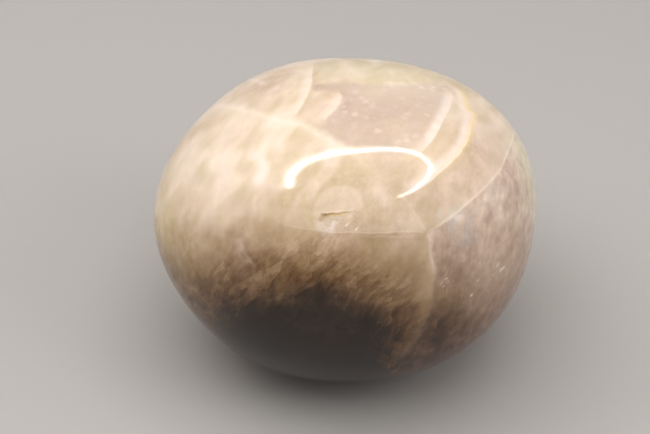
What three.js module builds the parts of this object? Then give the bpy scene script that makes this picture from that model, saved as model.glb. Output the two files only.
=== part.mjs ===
// A polished moonstone pebble, one piece of feldspar.
//
// The stone is an even oval that is a little fuller in some places and worn back in
// others, as a tumbled stone is. It lies on a small flat worn into its underside. A
// shallow chip high on its front has a sharp upper lip and a floor that slopes out to
// the surface. Everything is in millimetres: +X runs along the stone, +Y to its back
// and +Z up, and the origin is under the middle of the stone, on what it lies on.

import * as THREE from "three";
import { mergeVertices } from "three/addons/utils/BufferGeometryUtils.js";

// The whole stone, chip and flat included.
const LENGTH = 60;
const WIDTH = 54;
const HEIGHT = 47;

// The even oval inside it. A squareness of 2 is a plain ellipsoid, and more is boxier.
const OVAL = { length: 56.4, width: 54.6, height: 46.4, squareness: 2.2 };

// Where the stone stands proud of the oval or, with a minus, is worn back. A place is
// a bearing from +X towards +Y and a height above the middle, both in degrees.
const PLACES = [
  { name: "left nose", bearing: 180, height: 0, proud: 2.7, spread: 26 },
  { name: "right end", bearing: 10, height: 12, proud: 1.3, spread: 29 },
  { name: "right shoulder", bearing: -40, height: 45, proud: 2.7, spread: 24 },
  { name: "front shoulder", bearing: -80, height: 50, proud: 1.2, spread: 32 },
  { name: "upper left", bearing: 150, height: 40, proud: -0.8, spread: 37 },
  { name: "top of the back", bearing: 70, height: 50, proud: -0.8, spread: 32 },
  { name: "foot of the back", bearing: 75, height: -25, proud: -1.6, spread: 34 },
  { name: "back left", bearing: 125, height: 5, proud: 0.9, spread: 26 },
  { name: "under the left", bearing: -140, height: -60, proud: 0.8, spread: 30 },
];

// How much of the underside is worn away to leave the flat.
const FLAT_CUT = 0.6;

// The chip, in the plane that touches the stone at its middle. Its lip runs along the
// chip, turned a little up to the right. The wall is how far the lip takes to drop.
const CHIP = {
  bearing: -96.5,
  height: 37.3,
  turn: 6,
  length: 4.6,
  width: 2.9,
  depth: 0.6,
  wall: 0.5,
};

// The mesh is a box pushed out to the stone. Each of its faces is divided into this
// many cells each way, and the cells are smaller by the chip.
const CELLS = 26;
const CHIP_CROWDING = { more: 4, reach: 0.1 };

const radians = THREE.MathUtils.degToRad;

// The unit vector towards a place on the stone.
function towards({ bearing, height }) {
  const up = radians(height);
  const round = radians(bearing);
  return new THREE.Vector3(
    Math.cos(up) * Math.cos(round),
    Math.cos(up) * Math.sin(round),
    Math.sin(up),
  );
}

// How far the stone's surface is from its middle in a direction, before the chip.
function radiusAlong(direction) {
  const { length, width, height, squareness } = OVAL;
  const sum =
    Math.abs((2 * direction.x) / length) ** squareness +
    Math.abs((2 * direction.y) / width) ** squareness +
    Math.abs((2 * direction.z) / height) ** squareness;
  let radius = sum ** (-1 / squareness);
  for (const place of PLACES) {
    const angle = THREE.MathUtils.radToDeg(direction.angleTo(towards(place)));
    radius += place.proud * Math.exp(-((angle / place.spread) ** 2));
  }
  return radius;
}

// The chip's middle on the surface and its own axes: out of the stone, along the lip
// and up across it.
function chipFrame() {
  const out = towards(CHIP);
  const middle = out.clone().multiplyScalar(radiusAlong(out));
  const level = new THREE.Vector3(0, 0, 1).cross(out).normalize();
  const along = level.applyAxisAngle(out, radians(CHIP.turn));
  const across = out.clone().cross(along);
  return { middle, out, along, across };
}

// How deep the chip is under a point of the surface. Its plan is a half-moon: the lip
// is the straight side, and the floor rises from there to the curved side.
function chipDepth(point, { middle, out, along, across }) {
  const fromMiddle = point.clone().sub(middle);
  const x = (2 * fromMiddle.dot(along)) / CHIP.length;
  const y = fromMiddle.dot(across) / CHIP.width + 0.5;
  if (point.dot(out) <= 0 || Math.abs(x) >= 1) return 0;
  const reach = Math.sqrt(1 - x * x);
  const floor = THREE.MathUtils.clamp(y - 1 + reach, 0, reach);
  const wall = THREE.MathUtils.smoothstep(y, 1, 1 + CHIP.wall / CHIP.width);
  return CHIP.depth * floor * (1 - wall);
}

// A function that moves evenly spaced marks on -1 to 1 closer together round one of
// them, and leaves both ends where they are.
function crowdedRound(centre) {
  const { more, reach } = CHIP_CROWDING;
  const steps = 400;
  const passed = [0];
  for (let i = 0; i < steps; i++) {
    const at = -1 + (2 * (i + 0.5)) / steps;
    passed.push(passed[i] + 1 + more * Math.exp(-(((at - centre) / reach) ** 2)));
  }
  return (mark) => {
    const wanted = (passed[steps] * (mark + 1)) / 2;
    const i = Math.min(steps - 1, passed.findLastIndex((value) => value <= wanted));
    const share = (wanted - passed[i]) / (passed[i + 1] - passed[i]);
    return -1 + (2 * (i + share)) / steps;
  };
}

// A box's mesh, with its marks set at even angles from the middle and crowded round
// the chip, and each corner then drawn in to unit length.
function unitBall() {
  const chip = towards(CHIP);
  const markOf = (slope) => Math.atan(slope) / (Math.PI / 4);
  const crowdX = crowdedRound(markOf(chip.x / Math.abs(chip.y)));
  const crowdZ = crowdedRound(markOf(chip.z / Math.abs(chip.y)));
  const box = new THREE.BoxGeometry(2, 2, 2, CELLS, CELLS, CELLS);
  box.deleteAttribute("normal");
  box.deleteAttribute("uv");
  const ball = mergeVertices(box);
  const corners = ball.getAttribute("position");
  const slopeOf = (mark) => Math.tan((mark * Math.PI) / 4);
  const corner = new THREE.Vector3();
  for (let i = 0; i < corners.count; i++) {
    corner.fromBufferAttribute(corners, i);
    corner.set(slopeOf(crowdX(corner.x)), slopeOf(corner.y), slopeOf(crowdZ(corner.z)));
    corner.normalize();
    corners.setXYZ(i, corner.x, corner.y, corner.z);
  }
  return ball;
}

// The pebble's closed surface, at its size and place.
function pebbleGeometry() {
  const stone = unitBall();
  const points = stone.getAttribute("position");
  const chip = chipFrame();
  const point = new THREE.Vector3();
  for (let i = 0; i < points.count; i++) {
    point.fromBufferAttribute(points, i);
    point.multiplyScalar(radiusAlong(point));
    point.addScaledVector(chip.out, -chipDepth(point, chip));
    points.setXYZ(i, point.x, point.y, point.z);
  }
  return settled(stone);
}

// The stone with its underside worn flat, scaled to its full size and stood on z = 0.
function settled(stone) {
  const points = stone.getAttribute("position");
  stone.computeBoundingBox();
  const { min, max } = stone.boundingBox;
  const floor = min.z + FLAT_CUT;
  const scaleX = LENGTH / (max.x - min.x);
  const scaleY = WIDTH / (max.y - min.y);
  const scaleZ = HEIGHT / (max.z - floor);
  for (let i = 0; i < points.count; i++) {
    points.setXYZ(
      i,
      (points.getX(i) - (min.x + max.x) / 2) * scaleX,
      (points.getY(i) - (min.y + max.y) / 2) * scaleY,
      Math.max(0, points.getZ(i) - floor) * scaleZ,
    );
  }
  stone.computeVertexNormals();
  return stone;
}

function pebble() {
  const moonstone = new THREE.MeshStandardMaterial({
    color: 0xc9b494,
    roughness: 0.12,
    metalness: 0,
  });
  const mesh = new THREE.Mesh(pebbleGeometry(), moonstone);
  mesh.name = "pebble";
  return mesh;
}

const moonstonePebble = new THREE.Group();
moonstonePebble.add(pebble());

export default moonstonePebble;
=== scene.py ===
# %% [markdown]
# # A polished moonstone pebble
#
# Moonstone is a feldspar: a pale, cloudy stone that light sinks into. A tumbler rounds
# a piece of it and polishes it until a lamp mirrors in it. This lesson takes the plain
# solid of one pebble, gives it a fine skin with a sharp chip in it, and then builds what
# shows in the stone as a material: clouds, strands, healed cracks and dark smoke.

# %% Load the stone's frame
import math

import bpy
import numpy as np
from mathutils import Matrix, Vector, noise
from mathutils.bvhtree import BVHTree


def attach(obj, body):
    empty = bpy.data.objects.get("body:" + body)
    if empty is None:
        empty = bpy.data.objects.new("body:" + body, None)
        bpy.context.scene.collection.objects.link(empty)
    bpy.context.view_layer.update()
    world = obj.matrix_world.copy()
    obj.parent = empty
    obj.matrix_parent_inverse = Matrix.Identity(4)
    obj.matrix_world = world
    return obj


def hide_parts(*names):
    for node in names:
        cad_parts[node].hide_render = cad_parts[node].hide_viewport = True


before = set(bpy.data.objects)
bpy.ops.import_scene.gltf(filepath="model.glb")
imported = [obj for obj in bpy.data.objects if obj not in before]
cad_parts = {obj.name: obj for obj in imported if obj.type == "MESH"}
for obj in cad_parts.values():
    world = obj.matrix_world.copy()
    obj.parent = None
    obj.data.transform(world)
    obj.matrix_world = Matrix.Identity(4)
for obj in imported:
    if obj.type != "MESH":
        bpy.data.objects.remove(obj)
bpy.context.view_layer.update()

MM = 0.001

# %% [markdown]
# ## The camera
#
# A stone of a few centimetres is looked at from close by, through a long lens: the shape
# keeps its roundness and little of the table shows. The camera comes first, because the
# marks on the stone are placed through it later on.

# %% Set up the camera
VIEW_WIDTH, VIEW_HEIGHT = 650, 434
LENS_MM, SENSOR_MM = 100, 36
CAMERA_PITCH = math.radians(40)
CAMERA_DISTANCE = 284 * MM
CAMERA_TARGET = Vector((-3.1, 0.1, 22.7)) * MM

add_to_scene = bpy.context.scene.collection.objects.link
rightward = Vector((1, 0, 0))
forward = Vector((0, math.cos(CAMERA_PITCH), -math.sin(CAMERA_PITCH)))
upward = Vector((0, math.sin(CAMERA_PITCH), math.cos(CAMERA_PITCH)))
camera_data = bpy.data.cameras.new("camera")
camera_data.lens = LENS_MM
camera_data.sensor_width = SENSOR_MM
camera_data.clip_start = 10 * MM
camera_data.clip_end = 10
camera = bpy.data.objects.new("camera", camera_data)
camera.location = CAMERA_TARGET - forward * CAMERA_DISTANCE
camera.rotation_euler = (math.pi / 2 - CAMERA_PITCH, 0, 0)
add_to_scene(camera)
bpy.context.scene.camera = camera
print("the camera stands", round(camera.location.z / MM), "mm up")

# %% [markdown]
# ## The floor
#
# The stone lies on plain pale card. Whatever lies under a polished stone is mirrored in
# its foot, so the card is matt and a little below white. A single plane does for it,
# because its edges are far outside the view.

# %% Lay the floor
FLOOR_SIZE = 6.0
FLOOR_COLOUR = (0.43, 0.405, 0.385, 1)
FLOOR_ROUGHNESS = 0.9

bpy.ops.object.select_all(action="DESELECT")
bpy.ops.mesh.primitive_plane_add(size=FLOOR_SIZE)
floor = bpy.context.active_object
floor.name = "floor"
floor_finish = bpy.data.materials.new("floor_card")
floor_finish.use_nodes = True
card = floor_finish.node_tree.nodes["Principled BSDF"]
card.inputs["Base Color"].default_value = FLOOR_COLOUR
card.inputs["Roughness"].default_value = FLOOR_ROUGHNESS
floor.data.materials.append(floor_finish)
print("the floor is", FLOOR_SIZE, "m across")

# %% [markdown]
# ## The lamps
#
# Polish shows only in what it mirrors. A ring lamp over the stone draws a curved white
# line on it, thick at one end and thin at the other. A ring could be a glowing torus, but
# small square panels side by side are real lamps, and light the stone with less grain.
#
# A line that bright would burn out a pale stone if it also lit it. So a lamp can be told
# what it does: the line's panels and the pale haze beside it only show in the polish, as
# `visible_diffuse` is off. The halo round the line also lights the stone.

# %% Make a lamp
LAMP_HEIGHT = 0.30
LAMP_OVER = Vector((0, -15, 43)) * MM


def hang_panel(name, place, size, turn, glow):
    """A flat lamp over the stone. Its place and size are in shares of its height."""
    data = bpy.data.lights.new(name, "AREA")
    data.shape = "RECTANGLE"
    data.size, data.size_y = (share * LAMP_HEIGHT for share in size)
    data.energy = glow * math.pi * data.size * data.size_y
    lamp = bpy.data.objects.new(name, data)
    lamp.location = LAMP_OVER + Vector((place.x, place.y, 1)) * LAMP_HEIGHT
    lamp.rotation_euler = (0, 0, turn)
    add_to_scene(lamp)
    return lamp


print("lamps hang", round(LAMP_HEIGHT / MM), "mm over the stone")

# %% [markdown]
# The ring is open at the front. Its back half is flattened, and the whole ring is turned
# a little, so that its line lies on the stone as a low arch that leans to the right.

# %% Hang the ring
RING_MIDDLE = Vector((-0.11, -0.13))
RING_RADIUS = 0.58
RING_START, RING_END = math.radians(184), math.radians(-62)
RING_FLATNESS = 0.82
RING_LEAN = math.radians(-3)
RING_THICK, RING_THIN = 0.085, 0.042
RING_PANELS = 48
RING_GLOW = 18
HALO_THICK, HALO_THIN = 0.19, 0.085
HALO_GLOW = 4
HALO_SHIFT = 0.1

panel_length = (RING_START - RING_END) / RING_PANELS * RING_RADIUS
for number in range(RING_PANELS):
    share = (number + 0.5) / RING_PANELS
    angle = RING_START + (RING_END - RING_START) * share
    rise = math.sin(angle)
    out = Vector((math.cos(angle), rise * (RING_FLATNESS if rise > 0 else 1)))
    out.rotate(Matrix.Rotation(RING_LEAN, 2))
    turn = angle + RING_LEAN
    place = RING_MIDDLE + out * RING_RADIUS
    thick = RING_THICK + (RING_THIN - RING_THICK) * share
    line = hang_panel(f"ring_{number:02d}", place, (thick, panel_length), turn, RING_GLOW)
    line.visible_diffuse = False
    thick = HALO_THICK + (HALO_THIN - HALO_THICK) * share
    place = place + out * thick * HALO_SHIFT
    hang_panel(f"halo_{number:02d}", place, (thick, panel_length), turn, HALO_GLOW)
print(RING_PANELS, "panels make the ring")

# %% [markdown]
# The haze is a soft white patch beside the ring's thick end. Three lamps of different
# depths at each place give it soft sides.

# %% Hang the haze
HAZE_NEAR = Vector((-0.66, 0.10))
HAZE_FAR = Vector((-1.32, 0.36))
HAZE_PANELS = 6
HAZE_DEPTHS = (0.58, 0.46, 0.34)
HAZE_GLOW = 1.7

haze_run = HAZE_FAR - HAZE_NEAR
turn = math.atan2(-haze_run.y, -haze_run.x)
for number in range(HAZE_PANELS):
    share = (number + 0.5) / HAZE_PANELS
    glow = HAZE_GLOW * min(1, 2 * (1 - share))
    for depth in HAZE_DEPTHS:
        size = (haze_run.length / HAZE_PANELS, depth)
        haze = hang_panel(f"haze_{number}", HAZE_NEAR + haze_run * share, size, turn, glow)
        haze.visible_diffuse = False
print(HAZE_PANELS * len(HAZE_DEPTHS), "lamps make the haze")

# %% [markdown]
# A soft lamp in the ring, three fills and a wide sun for the sky do most of the lighting,
# and stay out of the polish, as `visible_glossy` is off.

# %% Light the stone softly
SOFT_GLOW = 1.4
FILL_SIZE = (0.9, 1.2)
FILLS = {
    "fill_right": (Vector((1.5, -0.6)), 3.4),
    "fill_left": (Vector((-1.6, -0.3)), 0.8),
    "fill_behind": (Vector((-0.85, 0.17)), 1.0),
}
SKY_STRENGTH = 0.85
SKY_WIDTH = math.radians(80)
ROOM_COLOUR = (1.0, 0.98, 0.95, 1)
ROOM_STRENGTH = 0.25

soft = hang_panel("soft", RING_MIDDLE, (2 * RING_RADIUS, 2 * RING_RADIUS), 0, SOFT_GLOW)
soft.visible_glossy = False
for name, (place, glow) in FILLS.items():
    fill = hang_panel(name, place, FILL_SIZE, 0, glow)
    fill.rotation_euler = (fill.location - LAMP_OVER).to_track_quat("Z", "Y").to_euler()
    fill.visible_glossy = False
sky_data = bpy.data.lights.new("sky", "SUN")
sky_data.energy = SKY_STRENGTH
sky_data.angle = SKY_WIDTH
sky = bpy.data.objects.new("sky", sky_data)
sky.visible_glossy = False
add_to_scene(sky)
world = bpy.data.worlds.new("studio")
world.use_nodes = True
room = world.node_tree.nodes["Background"]
room.inputs["Color"].default_value = ROOM_COLOUR
room.inputs["Strength"].default_value = ROOM_STRENGTH
bpy.context.scene.world = world
bpy.context.scene.view_settings.view_transform = "Standard"
print(len(bpy.data.lights), "lamps hang in all")

# %% [markdown]
# ## The stone's skin
#
# The solid is made of flat facets. The skin could be drawn again from the stone's sizes,
# but a copy of the solid is sure to keep them. The copy is merged and turned into
# four-sided faces, and Subdivision Surface rounds them, as polishing does: no facet
# catches the lamp any more.

# %% Round the skin
ROUNDING = 2
MERGE_WITHIN = 0.001 * MM


def count(what):
    print(f"{what}: {len(stone.data.vertices)} points, {len(stone.data.polygons)} faces")


stone = bpy.data.objects.new("moonstone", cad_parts["pebble"].data.copy())
add_to_scene(stone)
bpy.ops.object.select_all(action="DESELECT")
stone.select_set(True)
bpy.context.view_layer.objects.active = stone
bpy.ops.mesh.customdata_custom_splitnormals_clear()
bpy.ops.object.mode_set(mode="EDIT")
bpy.ops.mesh.select_all(action="SELECT")
bpy.ops.mesh.remove_doubles(threshold=MERGE_WITHIN)
bpy.ops.mesh.tris_convert_to_quads(face_threshold=math.pi, shape_threshold=math.pi)
bpy.ops.object.mode_set(mode="OBJECT")
count("merged")
rounding = stone.modifiers.new("rounding", "SUBSURF")
rounding.levels = rounding.render_levels = ROUNDING
bpy.ops.object.modifier_apply(modifier="rounding")
count("rounded")

# %% [markdown]
# ## Finding a place on the skin
#
# A mark is placed in one of two ways. Where the camera sees it, it is given as a point
# of the view, and a ray through that point finds the skin. Where it doesn't, it is given
# as a bearing and a height in degrees, as seen from the stone's middle.

# %% Look for the skin
PIXELS_PER_SLOPE = LENS_MM / SENSOR_MM * VIEW_WIDTH
STONE_MIDDLE = Vector((0, 0, stone.dimensions.z / 2))

skin = BVHTree.FromObject(stone, bpy.context.evaluated_depsgraph_get())


def seen(x, y):
    """The place on the skin that the camera sees at a point of its view.

    Beside the stone it is the place on the skin that is nearest to the ray."""
    across = (x - VIEW_WIDTH / 2) / PIXELS_PER_SLOPE
    down = (y - VIEW_HEIGHT / 2) / PIXELS_PER_SLOPE
    ray = forward + rightward * across - upward * down
    place = skin.ray_cast(camera.location, ray)[0]
    if place is None:
        passing = camera.location + ray * (STONE_MIDDLE - camera.location).dot(ray) / ray.dot(ray)
        place = skin.find_nearest(passing)[0]
    return place


def hidden(bearing, height):
    """The place on the skin at a bearing from +X towards +Y, and a height."""
    up, round_ = math.radians(height), math.radians(bearing)
    ray = Vector((math.cos(up) * math.cos(round_), math.cos(up) * math.sin(round_), math.sin(up)))
    return skin.ray_cast(STONE_MIDDLE, ray)[0]


middle = seen(VIEW_WIDTH / 2, VIEW_HEIGHT / 2)
print("the camera looks at", [round(c / MM, 1) for c in middle])

# %% [markdown]
# ## The chip
#
# A knock has spalled a flake off the front. Its upper edge broke off sharply, and its
# floor runs out to the polished skin as a rough ramp. Rounding has softened it to a dent.
# A sharp lip could be cut with a Boolean, but that leaves long thin faces that mirror
# badly. So its faces are divided again, and each point under the old skin is set: the
# skin as it was is a smooth surface through the polish around the chip, and the break
# lies under it.

# %% Find the chip's own axes
CHIP_MIDDLE = (339.5, 223.5)
CHIP_TURN = math.radians(5)
CHIP_AROUND = ((-30, 0), (30, 0), (0, -28), (0, 28))

chip_middle = seen(*CHIP_MIDDLE)
around = [seen(CHIP_MIDDLE[0] + dx, CHIP_MIDDLE[1] + dy) for dx, dy in CHIP_AROUND]
chip_out = sum((skin.find_nearest(place)[1] for place in around), Vector()).normalized()
chip_along = rightward * math.cos(CHIP_TURN) + upward * math.sin(CHIP_TURN)
chip_along = (chip_along - chip_out * chip_along.dot(chip_out)).normalized()
chip_across = chip_out.cross(chip_along)


def in_chip(places):
    """Points, in mm along the lip, across it and out of the stone."""
    axes = np.array([chip_along, chip_across, chip_out])
    return (places - np.array(chip_middle)) @ axes.T / MM


print("the chip faces", [round(c, 2) for c in chip_out])

# %% Divide the skin at the chip
CHIP_CLEARING = 4.4

bpy.ops.object.mode_set(mode="EDIT")
bpy.ops.mesh.select_all(action="DESELECT")
bpy.ops.object.mode_set(mode="OBJECT")
for face in stone.data.polygons:
    face.select = (face.center - chip_middle).length < CHIP_CLEARING * MM
bpy.ops.object.mode_set(mode="EDIT")
bpy.ops.mesh.subdivide(number_cuts=1)
bpy.ops.object.mode_set(mode="OBJECT")
count("divided at the chip")

# %% Read the skin as it was
CHIP_RIM = (2.9, 4.7)
SKIN_POWERS = 5


def skin_terms(a, b):
    """The terms of a smooth surface over the chip's own axes."""
    powers = [(i, j) for i in range(SKIN_POWERS) for j in range(SKIN_POWERS - i)]
    return np.stack([a ** i * b ** j for i, j in powers], axis=1)


points = np.empty(len(stone.data.vertices) * 3)
stone.data.vertices.foreach_get("co", points)
points = points.reshape(-1, 3)
local = in_chip(points)
away = np.hypot(local[:, 0], local[:, 1])
this_side = np.abs(local[:, 2]) < CHIP_RIM[1]
rim = this_side & (away > CHIP_RIM[0]) & (away < CHIP_RIM[1])
rim_terms = skin_terms(local[rim, 0], local[rim, 1])
old_skin = np.linalg.lstsq(rim_terms, local[rim, 2], rcond=None)[0]
print("the old skin fits to", np.abs(rim_terms @ old_skin - local[rim, 2]).max().round(4), "mm")

# %% [markdown]
# The break's plan is a half-moon. Its straight side is the lip, which noise makes ragged,
# and its floor is deepest under the lip's left end. Finer noise roughens the floor.

# %% Break the flake off
CHIP_LENGTH, CHIP_WIDTH, CHIP_DEPTH = 5.4, 2.6, 0.15
CHIP_SQUARENESS = 4
DEPTH_FALL = 0.7
LIP_WALL = 0.36
RAGGED_SIZE, RAGGED_DEPTH = 0.9, 0.08
GRIT_SIZE, GRIT_DEPTH, GRIT_SEED = 0.5, 0.03, 7
GRIT_ROUGHNESS, GRIT_STEP, GRIT_OCTAVES = 0.8, 2.2, 4
GRIT_RISE = 6
CHIP_BLEND = 0.9
SHARP_FROM = math.radians(40)


def smooth(low, high, x):
    """0 below low, 1 above high, and a soft step between them."""
    t = np.clip((x - low) / (high - low), 0, 1)
    return t * t * (3 - 2 * t)


def ragged_at(p, q):
    return noise.noise(Vector((p, q, 0)) / RAGGED_SIZE)


def grit_at(p, q):
    place = Vector((p, q, GRIT_SEED)) / GRIT_SIZE
    return noise.fractal(place, GRIT_ROUGHNESS, GRIT_STEP, GRIT_OCTAVES)


inside = np.flatnonzero(this_side & (away < CHIP_RIM[0] + CHIP_BLEND))
a, b = local[inside, 0], local[inside, 1]
ragged = np.array([ragged_at(p, q) for p, q in zip(a, b)])
grit = np.array([grit_at(p, q) for p, q in zip(a, b)])
x = np.clip(2 * a / CHIP_LENGTH, -1, 1)
y = b / CHIP_WIDTH + 0.5 + RAGGED_DEPTH * ragged
reach = np.sqrt(1 - x ** CHIP_SQUARENESS)
ramp = np.clip(y - 1 + reach, 0, reach)
wall = 1 - smooth(1, 1 + LIP_WALL / CHIP_WIDTH, y)
depth = CHIP_DEPTH * (1 - DEPTH_FALL * x) * ramp
depth = (depth + GRIT_DEPTH * grit * np.minimum(1, GRIT_RISE * ramp)) * wall
height = skin_terms(a, b) @ old_skin - np.maximum(0, depth)
blend = 1 - smooth(CHIP_RIM[0], CHIP_RIM[0] + CHIP_BLEND, away[inside])
points[inside] += np.outer((height - local[inside, 2]) * blend * MM, chip_out)
stone.data.vertices.foreach_set("co", points.ravel())
stone.data.update()
bpy.ops.object.shade_smooth_by_angle(angle=SHARP_FROM)
print("the chip is", round(float(depth.max()), 2), "mm deep")

# %% Keep the chip's measures for its finish
FAR_SIDE, FAR_AWAY = 10, 99

chip_layers = np.zeros((len(points), 3))
chip_layers[inside, 0] = np.maximum(0, depth)
chip_layers[:, 1] = local[:, 0]
chip_layers[:, 2] = local[:, 1] - CHIP_WIDTH / 2
chip_layers[inside, 2] = (y - 1) * CHIP_WIDTH
chip_layers[local[:, 2] < -FAR_SIDE] = (0, FAR_AWAY, FAR_AWAY)
chip_layer = stone.data.attributes.new("chip", "FLOAT_VECTOR", "POINT")
chip_layer.data.foreach_set("vector", chip_layers.ravel())
print(np.count_nonzero(chip_layers[:, 0]), "points lie in the chip")

# %% [markdown]
# ## Marks that follow the skin
#
# A healed crack shows as a thin pale line, and often as a glow on one side of it. Thin
# lines painted on the skin's points would be as coarse as the mesh. So each point keeps
# its distance to the crack instead: that changes evenly from point to point, and the
# shader can cut a line of any thinness out of it. The distance is positive on the left
# of the way the crack runs. A second number tells how far along the crack the point is.
# A zone is measured the same way, round a closed outline, and is positive inside it.

# %% Draw a curve on the skin
KNOT_STEP = 0.7

skin = BVHTree.FromObject(stone, bpy.context.evaluated_depsgraph_get())


def curve_through(corners, closed):
    """Places about KNOT_STEP mm apart on a smooth curve through corners, all on the skin."""
    last = len(corners) - 1
    places = []
    for i in range(len(corners) if closed else last):
        if closed:
            four = [corners[(i + k) % len(corners)] for k in (-1, 0, 1, 2)]
        else:
            four = [corners[min(max(i + k, 0), last)] for k in (-1, 0, 1, 2)]
        before, start, end, after = four
        steps = max(2, round((end - start).length / MM / KNOT_STEP))
        for k in range(steps):
            t = k / steps
            place = 0.5 * (2 * start + (end - before) * t
                           + (2 * before - 5 * start + 4 * end - after) * t ** 2
                           + (3 * start - before - 3 * end + after) * t ** 3)
            places.append(place)
    places.append(corners[0] if closed else corners[-1])
    return [skin.find_nearest(place)[:2] for place in places]


print("knots lie about", KNOT_STEP, "mm apart")

# %% Measure the points against it


def measure(name, corners, closed=False):
    """Writes each point's distance to a mark, in mm, and its share along it."""
    curve = curve_through(corners, closed)
    knots = np.array([place for place, _ in curve])
    starts, spans = knots[:-1], np.diff(knots, axis=0)
    lengths = np.linalg.norm(spans, axis=1)
    outs = np.array([normal for _, normal in curve[:-1]])
    lefts = np.cross(outs, spans / lengths[:, None])
    passed = np.concatenate([[0], np.cumsum(lengths)])
    best = np.full(len(points), np.inf)
    signed = np.zeros(len(points))
    along = np.zeros(len(points))
    for i, (start, span, length, left) in enumerate(zip(starts, spans, lengths, lefts)):
        from_start = points - start
        t = np.clip(from_start @ span / length ** 2, 0, 1)
        offset = from_start - t[:, None] * span
        distance = np.linalg.norm(offset, axis=1)
        closer = distance < best
        best[closer] = distance[closer]
        signed[closer] = (np.sign(offset @ left) * distance)[closer]
        along[closer] = ((passed[i] + t * length) / passed[-1])[closer]
    if closed and signed[np.argmin(np.linalg.norm(points - knots.mean(axis=0), axis=1))] < 0:
        signed = -signed
    values = np.stack([signed / MM, along, np.zeros(len(points))], axis=1)
    mark = stone.data.attributes.new(name, "FLOAT_VECTOR", "POINT")
    mark.data.foreach_set("vector", values.ravel())
    print(f"{name}: {passed[-1] / MM:.1f} mm long")


def front(*corners):
    """The places that the camera sees at points of its view."""
    return [seen(x, y) for x, y in corners]


def back(*corners):
    """The places out of its sight, at bearings and heights."""
    return [hidden(bearing, height) for bearing, height in corners]


print("each mark is measured at", len(points), "points")

# %% [markdown]
# Each crack is a row of places along it, and each zone a row of places round it. The
# last four cracks finish the sides that the camera doesn't see. The right zone is the
# part of the stone beyond its long crack, where the grain is steeper.

# %% Lay out the cracks
CRACKS = {
    "right_line": front((512, 124), (514, 132), (510, 146), (505, 159), (499, 171), (490, 182),
                        (477, 195), (460, 210), (441, 224), (427, 232)),
    "drop_line": front((427, 232), (430, 240), (431, 254), (434, 269), (434, 278)),
    "low_band": front((434, 272), (431, 290), (430, 306), (424, 322), (413, 343), (394, 364)),
    "chip_line": front((427, 232), (405, 232), (367, 233), (334, 232), (310, 229), (285, 225),
                       (265, 214), (256, 206)),
    "under_line": front((427, 235), (417, 236), (395, 237), (375, 236), (345, 236)),
    "turn_line": front((400, 194), (407, 201), (414, 211), (420, 221), (427, 232)),
    "cream_vein": front((451, 88), (452, 99), (449, 109), (443, 121), (435, 136), (427, 147),
                        (417, 156), (402, 168)),
    "gold_band": front((452, 84), (461, 92), (466, 101), (468, 110), (474, 113), (472, 124),
                       (470, 134), (466, 145), (456, 158), (441, 172), (424, 186), (404, 197)),
    "long_cream": front((205, 107), (217, 106), (237, 107), (257, 113), (285, 121), (302, 123),
                        (313, 130), (330, 139), (348, 148), (366, 162), (383, 173)),
    "top_cream": front((314, 62), (312, 75), (311, 86), (306, 98), (300, 109), (292, 118)),
    "short_cream": front((338, 90), (342, 97), (338, 106), (331, 114), (323, 121)),
    "left_thread": front((214, 148), (219, 157), (223, 166), (226, 177), (230, 192)),
    "left_arc": front((238, 160), (246, 156), (254, 156), (261, 160), (264, 169), (261, 178),
                      (252, 184)),
    "left_crack": front((241, 232), (242, 244), (248, 257), (259, 269)),
    "chip_foot": front((319, 218), (319, 225), (326, 231), (338, 232)),
    "lip_stain_and_shade": front((321, 223), (322, 217), (327, 215), (337, 214)),
    # The two flashes are painted glints: short bright dashes, drawn as cracks.
    "right_painted_glint": front((498, 273), (502, 269), (506, 265)),
    "small_painted_glint": front((495, 268), (498, 265), (499, 261)),
    "right_thread": front((440, 286), (446, 274), (452, 261)),
    "foot_thread": front((181, 259), (185, 253), (189, 244)),
    "back_crack": back((66, 50), (72, 40), (88, 22), (100, 2), (104, -22), (95, -45)),
    "back_vein": back((150, 55), (138, 38), (130, 20), (133, 0), (142, -18)),
    "end_crack": back((20, 40), (24, 22), (18, 5), (22, -14), (34, -30), (50, -48)),
    "foot_crack": back((175, -5), (170, -25), (178, -45), (-150, -62), (-100, -70)),
}

for name, corners in CRACKS.items():
    measure(name, corners)

# %% Lay out the zones
ZONES = {
    "smoke_edge": front((230, 352), (218, 333), (217, 314), (232, 301), (262, 295), (287, 290),
                        (303, 284), (320, 281), (335, 289), (352, 298), (371, 303), (388, 321),
                        (397, 342), (393, 362))
                + back((-65, -52), (-80, -72), (-120, -64), (-132, -42)),
    "rose_pane": front((350, 148), (332, 138), (316, 129), (325, 121), (339, 107), (343, 97),
                       (336, 90), (318, 90), (313, 85), (340, 82), (372, 84), (407, 85),
                       (446, 84), (448, 97), (442, 117), (435, 131), (425, 144), (408, 154),
                       (380, 152)),
    "dome_patch": front((315, 217), (316, 202), (327, 189), (343, 186), (357, 190), (362, 200),
                        (364, 209), (344, 213)),
    "clear_pane": front((366, 190), (384, 185), (402, 197), (415, 212), (426, 231), (390, 232),
                        (356, 232), (355, 214), (366, 207)),
    "right_zone": front((514, 131), (510, 146), (505, 159), (499, 171), (490, 182), (477, 195),
                        (460, 210), (441, 224), (427, 232), (430, 240), (434, 268), (433, 294),
                        (427, 318), (415, 341), (398, 361))
                + back((-70, -50), (-45, -58), (0, -52), (30, -35), (38, -5), (25, 20)),
}

for name, corners in ZONES.items():
    measure(name, corners, closed=True)

# %% [markdown]
# ## Clouds with a place
#
# Some tints have no edge at all. Each is a soft cloud round a few places, and a point
# keeps how deep it lies in them, from 0 outside to 1 in the middle. They could be painted
# with a brush in vertex paint, but places in code can be moved one at a time.

# %% Lay the tints


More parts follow.
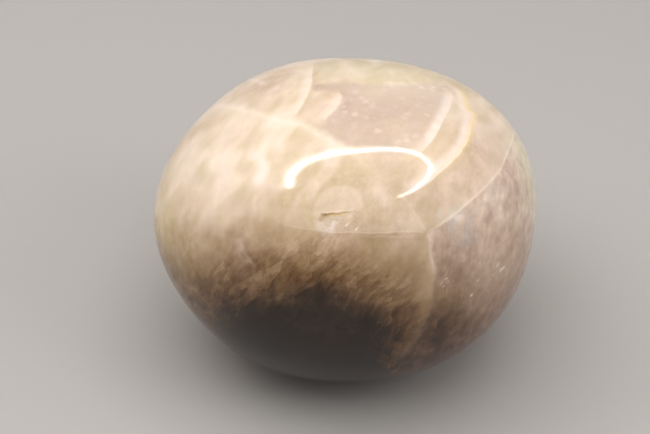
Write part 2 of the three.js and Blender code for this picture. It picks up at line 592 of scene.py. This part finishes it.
def cloud(name, at_front, at_back):
    """Writes how much of a cloud each point has.

    A spot is the two numbers of a place, a size in mm and a share. A share below 0
    thins the cloud."""
    spots = [(seen(x, y), size, share) for x, y, size, share in at_front]
    spots += [(hidden(bearing, height), size, share) for bearing, height, size, share in at_back]
    amount = np.zeros(len(points))
    for place, size, share in spots:
        distance = np.linalg.norm(points - np.array(place), axis=1) / MM
        amount += share * np.exp(-((distance / size) ** 2))
    layer = stone.data.attributes.new(name, "FLOAT", "POINT")
    layer.data.foreach_set("value", np.clip(amount, -1, 1))
    print(f"{name}: {len(spots)} spots, {np.mean(amount > 0.5):.0%} of the points")


ROSY_SPOTS = [
    (262, 88, 5, 0.8), (240, 263, 3.6, 1), (350, 110, 6, 0.6), (497, 150, 7, 0.8),
    (480, 165, 7, 0.6), (385, 176, 6, 0.35),
]
HONEY_SPOTS = [
    (345, 172, 5, 0.5), (405, 262, 6, 0.9), (287, 210, 6, 0.8), (245, 140, 5, 0.6),
    (268, 132, 4, 0.5), (245, 168, 1.6, 0.3), (318, 180, 3, 0.6), (395, 120, 6, 0.4),
    (205, 235, 6, 0.5), (162, 225, 5, 0.6), (355, 222, 6, 0.4), (300, 105, 5, 0.2),
    (449, 128, 2.2, 0.8), (470, 148, 3, 0.6),
]
OLIVE_SPOTS = [
    (161, 240, 6, 0.8), (190, 290, 8, 1), (176, 262, 7, 0.9), (318, 278, 3.5, 0.6),
    (446, 304, 3.4, 0.9), (440, 326, 4, 1),
]
GREEN_SPOTS = [
    (526, 158, 4, 0.8), (530, 175, 4, 0.6), (533, 192, 4, 0.5), (335, 66, 6, 0.35),
    (385, 70, 7, 0.25),
]
# The blue cloud is a painted sheen: the stone's bluish shimmer, set into its colour.
BLUE_SHEEN_SPOTS = [
    (470, 226, 2.2, 1), (464, 238, 2.2, 0.8), (458, 206, 3, 0.4), (448, 217, 3, 0.5),
    (496, 190, 3, 0.8),
]

cloud("rosy", ROSY_SPOTS, [(150, 10, 9, 0.7)])
cloud("honey", HONEY_SPOTS, [(90, 20, 12, 0.8), (40, 50, 9, 0.7)])
cloud("olive", OLIVE_SPOTS, [(-165, -15, 10, 0.6), (60, -30, 12, 0.7)])
cloud("green", GREEN_SPOTS, [(100, -10, 7, 0.4)])
cloud("blue", BLUE_SHEEN_SPOTS, [(45, 0, 6, 0.5)])

# %% [markdown]
# The murk is smoke in the body of the stone. Its larger spots low on the front and the
# back are also painted shade, where less light falls. It is thin, and it is thinner still
# in some places, where the stone lets more light out.

# %% Lay the murk
MURK_AND_SHADE_SPOTS = [
    (450, 330, 5, 0.16), (440, 352, 6, 0.36), (444, 320, 2.2, 0.16), (450, 257, 3, 0.16),
    (446, 308, 3, 0.08), (515, 200, 6, 0.12), (245, 345, 8, 0.3), (268, 82, 4, 0.12),
    (225, 245, 9, 0.04), (180, 287, 7, 0.32), (470, 147, 3, 0.09), (450, 124, 1.8, 0.06),
    (452, 194, 4, 0.1), (484, 180, 3.5, 0.09), (424, 204, 2.6, 0.07), (392, 170, 2.4, 0.06),
    (395, 206, 2.4, 0.04), (512, 182, 4, 0.04), (484, 210, 4, 0.05), (506, 205, 4, 0.03),
    (428, 338, 2.2, 0.14), (333, 212, 5, 0.05), (272, 257, 2.2, 0.08), (350, 276, 2.4, 0.1),
    (338, 234, 2, 0.05), (298, 280, 3, 0.1), (240, 240, 3, 0.07), (397, 255, 3.6, 0.07),
    (385, 215, 4, 0.05), (230, 256, 2.6, 0.06), (502, 196, 2.4, 0.06), (322, 98, 3.6, 0.06),
    (277, 93, 3.6, 0.04), (247, 126, 2.6, 0.03), (365, 130, 4, 0.03), (287, 243, 3, 0.05),
    (260, 203, 3, 0.05), (297, 217, 3, 0.04), (188, 218, 3, 0.04), (498, 215, 3.2, 0.04),
    (262, 245, 2.4, 0.04), (268, 281, 4, 0.1), (240, 262, 3, 0.12), (268, 240, 3, 0.06),
    (422, 321, 3, 0.16), (326, 239, 2.6, 0.05), (360, 226, 2.4, 0.06), (300, 282, 3, 0.08),
]
CLEARER_SPOTS = [
    (410, 318, 2.2, -0.06), (474, 120, 1.6, -0.06), (490, 292, 5, -0.08), (474, 304, 4, -0.07),
    (455, 240, 3, -0.05), (496, 190, 3.2, -0.12), (313, 249, 4, -0.11), (383, 300, 3, -0.12),
    (164, 238, 4, -0.1), (174, 262, 4, -0.12), (196, 236, 4, -0.06), (257, 258, 2.6, -0.1),
    (466, 246, 3.2, -0.08), (500, 239, 2.4, -0.07), (405, 294, 2, -0.08), (415, 82, 7, -0.07),
    (208, 158, 3, -0.06), (245, 152, 3, -0.06), (430, 262, 2.6, -0.08), (433, 284, 2.2, -0.08),
    (318, 263, 2.2, -0.06), (482, 261, 2, -0.07), (188, 268, 4, -0.05),
]
MURK_AND_SHADE_BACK = [(70, -45, 12, 0.4), (160, -50, 12, 0.3), (120, 0, 9, 0.2)]

cloud("murk_and_shade", MURK_AND_SHADE_SPOTS + CLEARER_SPOTS, MURK_AND_SHADE_BACK)

# %% [markdown]
# The milk makes the stone paler, the grain sets where its strands are crisp, and the last
# cloud says where the sparks are.

# %% Lay the milk, the grain and the sparks
MILK_SPOTS = [
    (225, 160, 8, 0.4), (236, 198, 4, 0.6), (205, 140, 6, 0.3), (375, 72, 6, 0.25),
    (257, 180, 1.8, 0.6), (447, 97, 1.6, 0.6), (461, 120, 4, 0.6), (222, 215, 5, 0.5),
    (379, 191, 1, 1), (385, 202, 0.9, 1), (371, 229, 0.8, 0.9), (397, 229, 1, 0.9),
    (292, 121, 3, 0.5), (420, 235, 3.5, 0.7), (423, 262, 3.5, 0.5), (482, 258, 3, 0.5),
    (497, 190, 3, 0.6),
]
GRAIN_SPOTS = [
    (350, 250, 15, 1), (474, 158, 5, 0.7), (395, 210, 5, 0.5), (462, 268, 10, 0.8),
    (492, 278, 5, 0.5), (340, 205, 8, 0.6),
]
SPARKLY_SPOTS = [
    (500, 267, 2, 1), (477, 268, 2.2, 0.9), (488, 256, 1, 1), (443, 281, 1.6, 0.9),
    (473, 290, 2, 0.7), (399, 136, 1.5, 0.8), (385, 203, 2.2, 0.8), (350, 228, 2.2, 0.6),
    (342, 224, 2, 0.7), (222, 197, 1.5, 0.8),
]

cloud("milk", MILK_SPOTS, [(-160, 40, 9, 0.4), (120, 40, 9, 0.6)])
cloud("grain", GRAIN_SPOTS, [(130, 20, 16, 0.6), (60, -10, 14, 0.6)])
cloud("sparkly", SPARKLY_SPOTS, [(110, 30, 5, 0.9), (30, 10, 3, 0.9), (160, 0, 3, 0.9)])

# %% [markdown]
# ## Shader sums as Python sums
#
# A material's sums would take a page of Math nodes wired by hand. Here a small class
# wraps a number on its way through the shader, so that a plain Python sum adds the nodes.
# A second class adds the nodes, all in one way: a node's settings come first, as they can
# change its sockets.

# %% Wrap a number


class Value:
    """A number, colour or vector on its way through the shader."""

    def __init__(self, recipe, socket):
        self.recipe, self.socket = recipe, socket

    def __add__(self, other):
        return self.recipe.math("ADD", self, other)

    __radd__ = __add__

    def __sub__(self, other):
        return self.recipe.math("SUBTRACT", self, other)

    def __rsub__(self, other):
        return self.recipe.math("SUBTRACT", other, self)

    def __mul__(self, other):
        return self.recipe.math("MULTIPLY", self, other)

    __rmul__ = __mul__

    def __rpow__(self, other):
        return self.recipe.math("POWER", other, self)

    def __abs__(self):
        return self.recipe.math("ABSOLUTE", self)


# %% Add nodes to a material
# The Mix node's colour sockets go by number, as they share their names with others.
COLOUR_A, COLOUR_B, COLOUR_OUT = 6, 7, 2


class Recipe:
    """Adds nodes to one material."""

    def __init__(self, name):
        self.material = bpy.data.materials.new(name)
        self.material.use_nodes = True
        self.tree = self.material.node_tree
        self.surface = self.tree.nodes["Principled BSDF"]

    def node(self, kind, settings, inputs):
        """A new node, with its settings and the values or links of its sockets."""
        made = self.tree.nodes.new(kind)
        for name, value in settings.items():
            setattr(made, name, value)
        for key, value in inputs.items():
            self.feed(made.inputs[key], value)
        return made

    def feed(self, socket, value):
        """Links a value into a socket, or sets a plain one."""
        if isinstance(value, Value):
            self.tree.links.new(value.socket, socket)
        else:
            socket.default_value = value

    def value(self, output, kind, settings, inputs):
        """One output of a new node."""
        return Value(self, self.node(kind, settings, inputs).outputs[output])

    def math(self, operation, *values):
        settings = {"operation": operation}
        return self.value(0, "ShaderNodeMath", settings, dict(enumerate(values)))

    def vector(self, operation, *values):
        output = "Value" if operation == "DOT_PRODUCT" else "Vector"
        settings = {"operation": operation}
        return self.value(output, "ShaderNodeVectorMath", settings, dict(enumerate(values)))

    def scaled(self, vector, by):
        inputs = {"Vector": vector, "Scale": by}
        return self.value("Vector", "ShaderNodeVectorMath", {"operation": "SCALE"}, inputs)

    def step(self, low, high, value):
        """0 up to low, 1 from high on, and a soft step between them."""
        inputs = {"Value": value, "From Min": low, "From Max": high}
        settings = {"interpolation_type": "SMOOTHSTEP"}
        return self.value("Result", "ShaderNodeMapRange", settings, inputs)

    def mix(self, first, second, share):
        """Goes from the first colour to the second as share goes from 0 to 1."""
        inputs = {"Factor": share, COLOUR_A: first, COLOUR_B: second}
        return self.value(COLOUR_OUT, "ShaderNodeMix", {"data_type": "RGBA"}, inputs)

    def tint(self, colour, by):
        """Multiplies two colours."""
        settings = {"data_type": "RGBA", "blend_type": "MULTIPLY"}
        inputs = {"Factor": 1.0, COLOUR_A: colour, COLOUR_B: by}
        return self.value(COLOUR_OUT, "ShaderNodeMix", settings, inputs)

    def join(self, x, y, z):
        return self.value("Vector", "ShaderNodeCombineXYZ", {}, {"X": x, "Y": y, "Z": z})

    def split(self, vector):
        made = self.node("ShaderNodeSeparateXYZ", {}, {"Vector": vector})
        return [Value(self, made.outputs[axis]) for axis in "XYZ"]

    def sway(self, vector, scale, detail):
        """A colour of noise, to push a place about with."""
        inputs = {"Vector": vector, "Scale": scale, "Detail": detail}
        return self.value("Color", "ShaderNodeTexNoise", {}, inputs)

    def mottle(self, place, size, detail=3.0, roughness=0.5, shift=0.0):
        """Noise from about -1 to 1, with lumps of a size in mm."""
        moved = self.vector("ADD", place, (shift, shift, shift))
        inputs = {"Vector": moved, "Scale": 1 / size, "Detail": detail, "Roughness": roughness}
        settings = {"noise_dimensions": "3D"}
        return (self.value("Fac", "ShaderNodeTexNoise", settings, inputs) - 0.5) * 4

    def painted(self, name):
        """A cloud that the skin's points keep."""
        return self.value("Fac", "ShaderNodeAttribute", {"attribute_name": name}, {})

    def marked(self, name):
        """The three numbers that the points keep of a mark."""
        mark = self.value("Vector", "ShaderNodeAttribute", {"attribute_name": name}, {})
        return self.split(mark)

    def tell(self, what):
        print(f"{what}: {len(self.tree.nodes)} nodes so far")


finish = Recipe("moonstone")
mix, step, mottle, tell = finish.mix, finish.step, finish.mottle, finish.tell
vector, painted, marked = finish.vector, finish.painted, finish.marked
tell("an empty finish")

# %% [markdown]
# ## The stone's body
#
# Feldspar splits along flat planes, and thin sheets of a second feldspar lie between
# them. On a polished skin they show as fine strands, all along one way. Wood grain could
# be had from a Wave texture, but its lines are too even. Noise that is squeezed across
# the sheets and drawn out along them gives strands that keep their way all round the
# stone. The place is pushed about a little first, as the sheets aren't quite flat.

# %% Find the way of the sheets
BEND_SCALE, BEND_DEPTH = 0.16, 1.6

place = finish.scaled(finish.value("Object", "ShaderNodeTexCoord", {}, {}), 1 / MM)
bend = finish.scaled(finish.sway(place, BEND_SCALE, 1.0), BEND_DEPTH)
bent_place = vector("ADD", place, bend)


def sheets(lean, across, along):
    """The place in sheet coordinates: the sheets lean by some degrees from level."""
    lean = math.radians(lean)
    way = rightward * math.cos(lean) + upward * math.sin(lean)
    side = way.cross(forward)
    return finish.join(
        vector("DOT_PRODUCT", bent_place, tuple(side)) * (1 / across),
        vector("DOT_PRODUCT", bent_place, tuple(way)) * (1 / along),
        vector("DOT_PRODUCT", bent_place, tuple(forward)) * (1 / along),
    )


def strands(lean, across, along, **how):
    """Noise drawn out along the sheets. Its size across and along is in mm."""
    return mottle(sheets(lean, across, along), 1.0, **how)


tell("the sheets")

# %% [markdown]
# Strands alone look brushed. Where the stone has split, small flat plates lie between the
# sheets, each a little lighter or darker than the next. Voronoi cells give such plates:
# each cell has a chance number of its own, and noise makes its sides wavy.

# %% Split it into cells and plates
PLATE_WAVE_SCALE, PLATE_WAVE_DETAIL = 1.1, 2.0


def cells(where, size=1.0):
    """Random cells: the distance to a cell's middle, and a chance number from 0 to 1."""
    made = finish.node("ShaderNodeTexVoronoi", {}, {"Vector": where, "Scale": 1 / size})
    chance = finish.split(Value(finish, made.outputs["Color"]))[0]
    return Value(finish, made.outputs["Distance"]), chance


def plates(lean, across, along, shift):
    """A chance number from -1 to 1 for each small flat plate, with wavy sides."""
    where = vector("ADD", sheets(lean, across, along), (shift, shift, shift))
    wave = finish.sway(where, PLATE_WAVE_SCALE, PLATE_WAVE_DETAIL)
    return cells(vector("ADD", where, wave))[1] * 2 - 1


broad = strands(60, 3.2, 6.5, detail=1.5)
feathers = strands(52, 0.9, 2.4, detail=4.0, roughness=0.6, shift=9.0)
fine_strands = strands(54, 0.32, 1.5, detail=2.0, roughness=0.6, shift=61.0)
streaks = strands(82, 0.9, 3.2, detail=2.5, shift=31.0)
broad_streaks = strands(78, 2.4, 5.5, detail=2.5, shift=41.0)
fine_streaks = strands(84, 0.34, 1.8, detail=2.0, roughness=0.6, shift=71.0)
slits = step(0.5, 1.2, strands(48, 0.26, 1.5, detail=1.0, shift=13.0))
threads = step(0.6, 1.3, strands(45, 0.22, 1.6, detail=1.0, shift=29.0))
big_plates = plates(47, 0.8, 2.6, 3.0)
small_plates = plates(42, 0.36, 1.0, 17.0)
lumps = mottle(place, 8.0)
clots = mottle(place, 2.2, shift=23.0)
spots = mottle(place, 1.2, detail=2.0, shift=91.0)
flecks = mottle(place, 0.8, detail=2.0, roughness=0.6, shift=5.0)
tell("strands, plates and lumps")

# %% [markdown]
# The body is honey where it is clear and milky where it is cloudy. Left of the long crack
# the broad strands carry the milk, and right of it steeper streaks do. Then each tint is
# laid over it in its own cloud.

# %% Colour the body
HONEY = (0.67, 0.52, 0.345, 1)
MILK = (0.88, 0.71, 0.57, 1)
ROSE = (0.76, 0.58, 0.48, 1)
GOLD_TAN = (0.74, 0.56, 0.36, 1)
OLIVE = (0.66, 0.50, 0.29, 1)
GREEN = (0.68, 0.625, 0.42, 1)
BLUE_SHEEN = (0.80, 0.74, 0.70, 1)
LOW_FRONT_FADE = (-9.0, -1.0)

right_zone = marked("right_zone")[0]
on_right = step(-0.15, 0.25, right_zone + 0.1 * flecks)
on_left = 1 - on_right
smoke_zone = marked("smoke_edge")[0]
low_front = step(*LOW_FRONT_FADE, smoke_zone)

grain = painted("grain")
milk_cloud = painted("milk")
honey_cloud = painted("honey")
rosy_cloud = painted("rosy")
milky = 0.5 + 0.8 * on_left * broad + on_right * (0.3 * streaks + 0.6 * broad_streaks)
milky = milky + 0.3 * lumps + 0.3 * clots + grain * (0.15 * feathers + 0.1 * fine_strands)
milky = milky + milk_cloud * 0.7 - honey_cloud * 0.6
body = mix(HONEY, MILK, milky)
body = mix(body, ROSE, on_right * (0.65 - 0.15 * broad_streaks))
body = mix(body, ROSE, rosy_cloud * (0.65 + 0.25 * broad))
body = mix(body, GOLD_TAN, honey_cloud * low_front * 0.7)
body = mix(body, OLIVE, painted("olive") * (0.7 + 0.3 * clots))
body = mix(body, GREEN, painted("green") * (0.75 + 0.35 * clots))
# A painted sheen: the bluish shimmer laid on as a colour.
body = mix(body, BLUE_SHEEN, painted("blue") * step(-0.5, 1.0, streaks) * 0.8)
tell("the body")

# %% [markdown]
# ## Panes between the grains
#
# Some grains of the stone meet along flat faces, and each lets the light in to another
# depth. They show as panes with an edge: a rosy one high on the front with pale blobs in
# it, a clear one with milky wisps, and a small pale dome over the chip. A pane could be
# its own mesh with a material of its own, but then it would have a hard edge. Here a
# zone's distance is a soft mask, and noise makes its edge uneven.

# %% Lay the rosy pane
PANE_ROSE = (0.58, 0.435, 0.36, 1)
PANE_TAN = (0.66, 0.505, 0.38, 1)
PANE_FLECK = (0.80, 0.65, 0.56, 1)
BLOB_SIZE, BLOB_EDGE = 1.5, 0.62

pane = step(-0.8, 0.9, marked("rose_pane")[0] + 0.35 * clots)
pane_colour = mix(PANE_TAN, PANE_ROSE, 0.5 + 0.35 * lumps + rosy_cloud)
body = mix(body, pane_colour, pane * (0.75 + 0.15 * broad))
blob_distance, blob_chance = cells(place, BLOB_SIZE)
blob = 1 - step(0.0, BLOB_EDGE, blob_distance + 0.14 * flecks)
blob = blob * step(0.2, 1.2, blob_chance + 0.6 * clots)
body = mix(body, PANE_FLECK, pane * blob * 0.75)
tell("the rosy pane")

# %% Lay the clear pane and the dome
PANE_CLEAR = (0.74, 0.58, 0.41, 1)
PANE_MILK = (0.93, 0.78, 0.66, 1)

clear = step(-0.5, 0.5, marked("clear_pane")[0] + 0.2 * clots)
body = mix(body, PANE_CLEAR, clear * 0.5)
body = mix(body, MILK, clear * step(0.2, 0.9, clots + 0.5 * flecks) * 0.7)
body = mix(body, PANE_MILK, clear * milk_cloud * (0.55 + 0.3 * flecks))
dome_zone = marked("dome_patch")[0]
dome_share = step(-0.35, 0.35, dome_zone + 0.15 * flecks + 0.12 * clots)
body = mix(body, MILK, dome_share * (0.5 + 0.3 * clots + 0.12 * fine_strands))
tell("the clear pane and the dome")

# %% [markdown]
# ## Smoke
#
# Fine dark needles cloud the front of the stone low down. A volume inside the stone would
# be truer, but it is slow and grainy, and it is lost when the model leaves Blender. So
# the smoke is a colour, worked out as the light is: what passes through it is soaked up,
# blue before red, and thin smoke is brown where thick smoke is nearly black.
#
# Thin smoke thickens down the front, and this darkening is also painted shade: the colour
# grows darker towards the bottom of the view, where less light falls. The plates, slits
# and threads between the sheets carry its edge up among them, which makes it ragged.

# %% Let in the thin smoke
SMOKE_AND_SHADE_FROM = 18.0
SMOKE_AND_SHADE_SLOPE = 0.072
THINNEST = -0.12
EDGE_FADE = (0.5, 3.5)
RIM_FADE, RIM_SMOKE = (-7.5, -1.0), 0.5
MURK_AND_SHADE_STRENGTH = 1.8

# Thin smoke and painted shade: below a height, taken along the view's up way, the colour darkens
# downwards.
foot = SMOKE_AND_SHADE_FROM - vector("DOT_PRODUCT", place, tuple(upward))
thin = SMOKE_AND_SHADE_SLOPE * finish.math("MAXIMUM", foot + 0.8 * lumps + 0.6 * clots, 0.0)
ragged_zone = smoke_zone + 0.5 * feathers + 0.6 * big_plates + 0.8 * lumps
edge = low_front * (1 - step(*EDGE_FADE, ragged_zone))
thin = thin + RIM_SMOKE * step(*RIM_FADE, ragged_zone)
# The murk cloud adds smoke, and painted shade low down.
thin = thin + MURK_AND_SHADE_STRENGTH * painted("murk_and_shade") * (1 + 0.3 * clots + 0.3 * streaks)
thin = thin * (1 + 0.12 * on_left * feathers + 0.1 * clots)
slit_share = step(-0.2, 0.8, lumps + 0.8 * clots)
thin = thin + edge * (0.24 * big_plates + 0.16 * small_plates + 0.5 * slit_share * slits)
thin = thin - edge * 0.22 * threads
thin = thin + on_right * (0.1 * streaks + 0.14 * broad_streaks + 0.06 * clots + 0.07 * spots)
thin = thin + 0.06 * clots + 0.06 * lumps
thin = thin + grain * (0.05 * flecks + 0.04 * fine_strands + 0.06 * on_right * fine_streaks)
thin = finish.math("MAXIMUM", thin, THINNEST)
tell("the thin smoke")

# %% [markdown]
# Inside its zone the smoke is thick. A clear seam runs down through both, along the crack
# between the stone's two halves. Soaking is the number e to the power of minus the
# smoke, one for each of red, green and blue. Right of the crack the stone itself is
# rosy, so a little less red is lost there.

# %% Let in the thick smoke
THICK_FADE, THICK_SMOKE = (-1.5, 4.0), 1.9
THIN_SOAKING = (1.0, 1.27, 1.62)
ROSE_SOAKING = (0.0, 0.05, 0.23)
THICK_SOAKING = (1.0, 1.07, 1.14)
SEAM_LEFT, SEAM_RIGHT, SEAM_CLEARING = (-2.6, -0.8), (0.0, 0.8), 0.22
FLAKE = (0.82, 0.65, 0.53, 1)

thick = THICK_SMOKE * step(*THICK_FADE, ragged_zone)
thick = thick * (1 + 0.1 * clots + 0.1 * lumps)
seam_zone = marked("low_band")[0] + 0.4 * clots
seam = step(*SEAM_LEFT, seam_zone) * (1 - step(*SEAM_RIGHT, seam_zone))
clear_seam = 1 - SEAM_CLEARING * seam
thin, thick = thin * clear_seam, thick * clear_seam
flake = edge * on_left * step(0.2, 0.6, big_plates)
body = mix(body, FLAKE, flake * 0.25)
soaked = finish.join(*(
    math.e ** (thin * (on_right * rose - thin_share) - thick * thick_share)
    for thin_share, rose, thick_share in zip(THIN_SOAKING, ROSE_SOAKING, THICK_SOAKING)
))
body = finish.tint(body, soaked)
tell("the smoke")

# %% [markdown]
# ## Healed cracks
#
# A healed crack is a thin sheet of small bubbles. It shows as a bright line where the
# skin cuts it, and as a pale glow on the side where it dips away under the skin. Beyond
# it the stone is a little darker. One function draws them all from their distances: the
# glow lies right of the way a crack runs, and the shade left of it. A wide glow that
# holds its strength and then fades makes a vein of cream, with one sharp side.

# %% Make a crack
PALE = (0.97, 0.83, 0.71, 1)
CREAM = (0.92, 0.765, 0.665, 1)
GOLD = (0.92, 0.70, 0.36, 1)
SHADE = (0.80, 0.75, 0.69, 1)

wander = mottle(place, 1.6, detail=2.0, shift=50.0)
patchy = mottle(place, 2.0, shift=70.0)
beads = 0.85 + 0.3 * flecks


def near(distance, inner, outer):
    """1 within the inner distance, and 0 beyond the outer one."""
    return 1 - step(inner, outer, distance)


def fade(along, start, end):
    """Fades a mark in over its first share and out over its last."""
    return step(0.0, start, along) * step(0.0, end, 1 - along)


def crack(colour, name, line, strength, softness=0.5, glow=(0, 0), shade=(0, 0), start=0.08,
          end=0.08, wobble=0.08, lead=0.1, hold=0.0, tint=PALE, glow_tint=PALE):
    """Adds a crack: its line in mm, and a glow and a shade, each a width and a strength."""
    distance, along, _ = marked(name)
    distance = distance + wobble * wander
    here = fade(along, start, end) * (0.8 + 0.25 * patchy)
    if shade[0]:
        beyond = step(-0.05, 0.1, distance) * near(distance, 0.0, shade[0])
        colour = mix(colour, finish.tint(colour, SHADE), here * beyond * shade[1])
    if glow[0]:
        within = step(-lead, lead, distance * -1) * near(distance * -1, hold, glow[0])
        colour = mix(colour, glow_tint, here * within * glow[1])
    half = line / 2
    core = near(abs(distance), half * (1 - softness), half * (1 + softness))
    return mix(colour, tint, here * core * beads * strength)


tell("what cracks share")

# %% Draw the long cracks
body = crack(body, "right_line", 0.42, 0.6, 0.8, glow=(2.2, 0.2), shade=(1.5, 0.3))
body = crack(body, "chip_line", 0.26, 0.22, 0.8, glow=(1.8, 0.12), shade=(3.0, 0.45), end=0.5,
             wobble=0.16)
body = crack(body, "under_line", 0.26, 0.15, 0.8, start=0.2, end=0.4, wobble=0.2)
body = crack(body, "turn_line", 0.3, 0.14, 0.8, glow=(1.0, 0.08))
body = crack(body, "drop_line", 0.5, 0.42, 0.9, glow=(1.5, 0.1), end=0.3, wobble=0.12)
body = crack(body, "low_band", 1.5, 0.05, 1.0, start=0.2, end=0.3, wobble=0.3)
tell("the long cracks")

# %% Draw the cream veins
body = crack(body, "cream_vein", 0.4, 0.1, 1.0, glow=(2.0, 0.95), shade=(1.8, 0.25), start=0.2,
             end=0.3, wobble=0.1, hold=0.5, glow_tint=CREAM)
body = crack(body, "gold_band", 0.4, 0.1, 1.0, glow=(2.2, 0.95), start=0.1, wobble=0.1,
             hold=0.8, glow_tint=CREAM)
body = crack(body, "gold_band", 0.2, 0.0, shade=(1.6, 0.5), start=0.7)
body = crack(body, "gold_band", 1.0, 0.9, 1.0, start=0.12, end=0.7, tint=GOLD)
body = crack(body, "long_cream", 1.1, 0.42, 1.0, glow=(2.4, 0.35), start=0.05, end=0.25,
             wobble=0.2, lead=0.3)
body = crack(body, "top_cream", 0.5, 0.1, 1.0, glow=(2.0, 0.8), shade=(2.0, 0.7), start=0.35,
             wobble=0.1, lead=0.25, hold=0.4, glow_tint=CREAM)
body = crack(body, "short_cream", 0.4, 0.1, 1.0, glow=(2.0, 0.55), shade=(1.0, 0.4), start=0.15,
             wobble=0.15, lead=0.2, hold=0.5, glow_tint=CREAM)
tell("the cream veins")

# %% Draw the small cracks
body = crack(body, "left_thread", 0.65, 0.7, 1.0, start=0.2, end=0.4, wobble=0.15, tint=CREAM)
body = crack(body, "left_arc", 1.5, 0.85, 1.0, start=0.3, wobble=0.15, tint=CREAM)
body = crack(body, "left_crack", 0.6, 0.12, 1.0, glow=(1.8, 0.12), shade=(1.5, 0.3), start=0.3,
             end=0.3)
# Two painted glints: bright dashes where small cleavage faces mirror the lamp.
body = crack(body, "right_painted_glint", 0.45, 0.6, start=0.4, end=0.4)
body = crack(body, "small_painted_glint", 0.45, 0.5, start=0.4, end=0.4)
body = crack(body, "right_thread", 0.25, 0.25, start=0.1, end=0.7)
body = crack(body, "foot_thread", 0.3, 0.16, start=0.3, end=0.3)
tell("the small cracks")

# %% Draw the cracks of the back
for name in ("back_crack", "end_crack"):
    body = crack(body, name, 0.3, 0.4, 0.7, glow=(2.2, 0.16), shade=(1.5, 0.3), wobble=0.2)
body = crack(body, "back_vein", 1.0, 0.35, 1.0, glow=(2.2, 0.35), end=0.3, wobble=0.2)
body = crack(body, "foot_crack", 0.4, 0.35, 0.8, glow=(1.5, 0.15))
tell("the cracks of the back")

# %% [markdown]
# ## Sparks
#
# Here and there a tiny cleavage face inside the stone throws the lamp back. Small bright
# meshes could be strewn in it, but each would need a place under the skin. Instead each
# spark is a painted glint: a bright colour in the middle of a random cell, drawn out along
# the sheets as a cleavage face is. Only cells with a high chance number in a sparkly place
# have one.

# %% Scatter the sparks
PAINTED_GLINT = (1.0, 0.88, 0.70, 1)
SPARK_SHEETS = (42, 0.55, 1.3)
SPARK_CHOICE = (0.42, 0.50)

spark_distance, spark_chance = cells(sheets(*SPARK_SHEETS))
painted_glint = near(spark_distance + 0.06 * flecks, 0.1, 0.42)
chosen = step(*SPARK_CHOICE, spark_chance * painted("sparkly"))
body = mix(body, PAINTED_GLINT, painted_glint * chosen * 0.6)
tell("the sparks")

# %% [markdown]
# ## The chip's break
#
# Inside the chip the stone is raw: paler and crumbly. Rust from the ground has stained its
# lip, most at the left end where it is deepest, and a dark brown line there is stain and
# painted shade under the broken edge. A painted highlight runs along the polish just above
# the lip. The break is a part of the stone, so it gets no material of its own. The depth
# and places that the points keep tell where each colour goes, and they follow the lip
# exactly, as they were measured from it.

# %% Finish the chip's break
CHIP_FLOOR = (0.61, 0.47, 0.33, 1)
RAW_BREAK = (0.84, 0.70, 0.62, 1)
RUST = (0.73, 0.54, 0.29, 1)
STAIN_AND_SHADE = (0.42, 0.27, 0.12, 1)
BROKEN_DEPTH = (0.01, 0.05)

chip_deep, chip_along_lip, chip_over = marked("chip")
broken = step(*BROKEN_DEPTH, chip_deep)
fresh = broken * near(chip_along_lip, -0.5, 2.2)
body = mix(body, CHIP_FLOOR, fresh * 0.75)
body = mix(body, RAW_BREAK, fresh * step(-0.1, 1.2, flecks + 0.5 * clots) * 0.75)
stained = near(abs(chip_over - 0.08 + 0.06 * wander), 0.14, 0.40)
stained = stained * near(chip_along_lip, 0.0, 2.5) * step(-2.4, -2.0, chip_along_lip)
body = mix(body, RUST, stained * 0.85)
# The lip's dark brown line: stain, and painted shade under the broken edge.
body = crack(body, "lip_stain_and_shade", 0.6, 1.1, 0.7, start=0.1, end=0.6, wobble=0.2, tint=STAIN_AND_SHADE)
body = crack(body, "chip_foot", 1.0, 0.7, 1.0, start=0.2, end=0.3, wobble=0.25, tint=RAW_BREAK)
# A painted highlight: a pale line on the polish just above the lip.
painted_lip_highlight = near(abs(chip_over - 0.48 - 0.05 * wander), 0.0, 0.16)
painted_lip_highlight = painted_lip_highlight * near(chip_along_lip, 1.2, 2.6) * step(-2.4, -1.6, chip_along_lip)
body = mix(body, PALE, painted_lip_highlight * 0.45)
tell("the chip's break")

# %% [markdown]
# ## The polish
#
# Feldspar takes a high polish, and it bends light by 1.52. A glass shader would let the
# light right through, which this cloudy stone doesn't. So it is a glossy skin over a body
# that a little light spreads in, red furthest, and only the chip is rough.

# %% Polish the stone
POLISHED, BREAK_ROUGHER = 0.09, 0.42
BENDING = 1.52
SPREAD_SHARE, SPREAD_COLOURS, SPREAD_REACH = 0.3, (1, 0.6, 0.4), 2.5 * MM

surface = finish.surface
finish.feed(surface.inputs["Base Color"], body)
finish.feed(surface.inputs["Roughness"], POLISHED + BREAK_ROUGHER * broken)
surface.inputs["IOR"].default_value = BENDING
surface.inputs["Subsurface Weight"].default_value = SPREAD_SHARE
surface.inputs["Subsurface Radius"].default_value = SPREAD_COLOURS
surface.inputs["Subsurface Scale"].default_value = SPREAD_REACH
stone.data.materials.clear()
stone.data.materials.append(finish.material)
tell("the polished stone")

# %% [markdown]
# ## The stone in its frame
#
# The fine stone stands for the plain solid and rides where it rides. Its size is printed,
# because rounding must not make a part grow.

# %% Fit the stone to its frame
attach(stone, "root")
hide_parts("pebble")
print("the fine stone measures", [round(c / MM, 1) for c in stone.dimensions], "mm")
